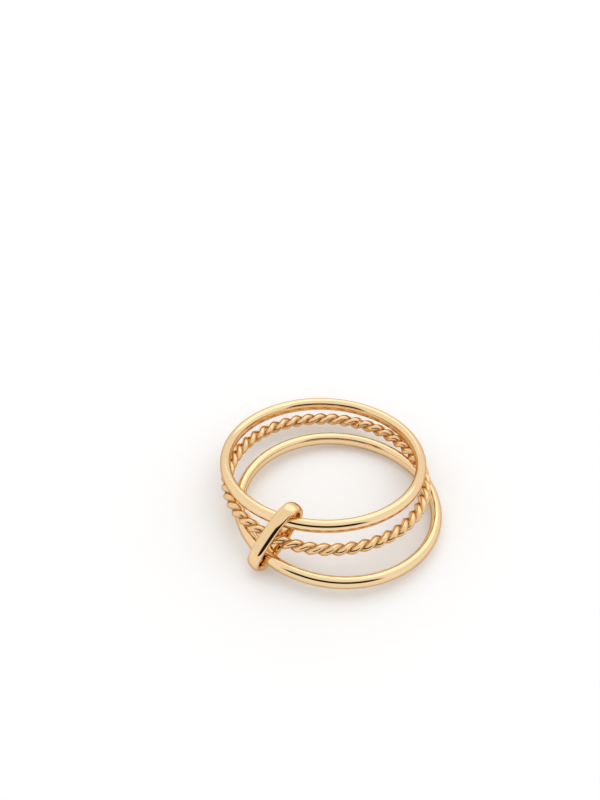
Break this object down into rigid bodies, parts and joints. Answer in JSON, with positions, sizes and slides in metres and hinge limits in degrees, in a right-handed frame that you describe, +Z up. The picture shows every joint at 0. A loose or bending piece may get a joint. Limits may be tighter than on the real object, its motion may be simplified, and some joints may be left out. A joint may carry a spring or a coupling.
{
  "type": "stackable ring",
  "caption": "Slim polished finger bands, plain or twisted like rope, joined by an oval link and lying fanned out.",
  "frame": {"origin": "middle of the foot of the box round the whole ring, on the surface it lies on", "axes": "+Z up from the surface, +Y away from the viewer, towards the far side of the fan"},
  "size_m": [0.0208, 0.0228, 0.0061],
  "materials": {
    "plain_gold": "polished yellow gold",
    "twisted_gold": "polished yellow gold, darker in the creases",
    "link_gold": "polished yellow gold"
  },
  "bodies": {
    "bottom": {"band_bottom": "plain_gold", "link": "link_gold"},
    "middle": {"band_twisted": "twisted_gold"},
    "top": {"band_top": "plain_gold"}
  },
  "joints": [
    {"name": "top_band_opens", "type": "hinge", "parent": "bottom", "child": "top", "pos_m": [-0.00462, -0.00643, 0.00432], "axis": [0.9057, -0.4185, 0.067], "range_deg": [0, 130]},
    {"name": "middle_band_opens", "type": "hinge", "parent": "bottom", "child": "middle", "pos_m": [-0.00539, -0.00728, 0.00291], "axis": [0.8428, -0.5349, 0.0596], "range_deg": [0, 65]}
  ],
  "couplings": [
    {"joint": "middle_band_opens", "follows": "top_band_opens", "ratio": 0.5}
  ]
}
